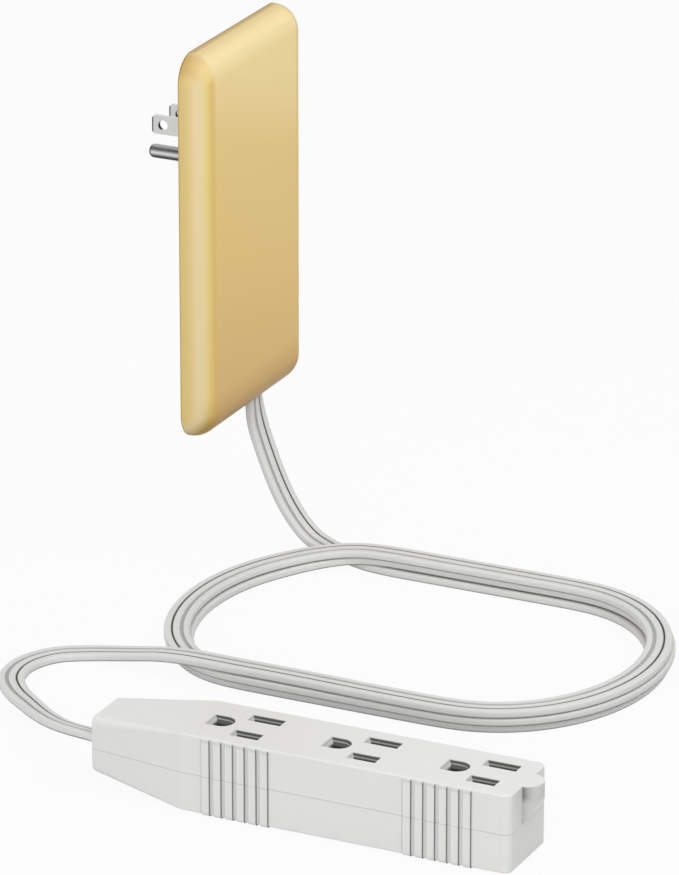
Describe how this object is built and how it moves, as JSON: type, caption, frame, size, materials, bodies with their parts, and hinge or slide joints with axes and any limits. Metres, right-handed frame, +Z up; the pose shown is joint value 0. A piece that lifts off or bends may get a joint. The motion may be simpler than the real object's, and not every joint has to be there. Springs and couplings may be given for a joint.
{
  "type": "outlet extender",
  "caption": "Flat wall cover with a grounded plug on its back, a flat cord lying in a loop, and a long outlet strip with flared sockets and ribbed sides.",
  "frame": {"origin": "on the ground pin's axis, where it leaves the plug face", "axes": "+Z up, +Y along the prongs into the wall, +X to the right as seen from the room"},
  "size_m": [0.2468, 0.2318, 0.1844],
  "materials": {
    "cover_gold": "satin gold paint",
    "housing_white": "semi-gloss",
    "block_white": "plain",
    "cord_white": "soft matt vinyl",
    "lead_black": "matt",
    "lead_white": "matt",
    "lead_green": "matt",
    "prong_nickel": "nickel plated",
    "contact_brass": "plain",
    "screw_steel": "zinc plated"
  },
  "bodies": {
    "root": {"front_cover": "cover_gold", "rear_cover": "housing_white", "terminal_block": "block_white", "neutral_blade": "prong_nickel", "line_blade": "prong_nickel", "ground_pin": "prong_nickel", "neutral_lead": "lead_white", "ground_lead": "lead_green", "line_lead": "lead_black", "cover_clamp": "block_white", "cover_clamp_screws": "screw_steel", "cover_screws": "screw_steel", "strip_top": "housing_white", "strip_base": "housing_white", "neutral_bus": "contact_brass", "line_bus": "contact_brass", "ground_bus": "contact_brass", "strip_neutral_lead": "lead_white", "strip_ground_lead": "lead_green", "strip_line_lead": "lead_black", "strip_clamp": "block_white", "strip_clamp_screws": "screw_steel", "strip_screws": "screw_steel", "cord_drop": "cord_white", "cord_loop": "cord_white", "cord_tail": "cord_white"}
  },
  "joints": []
}
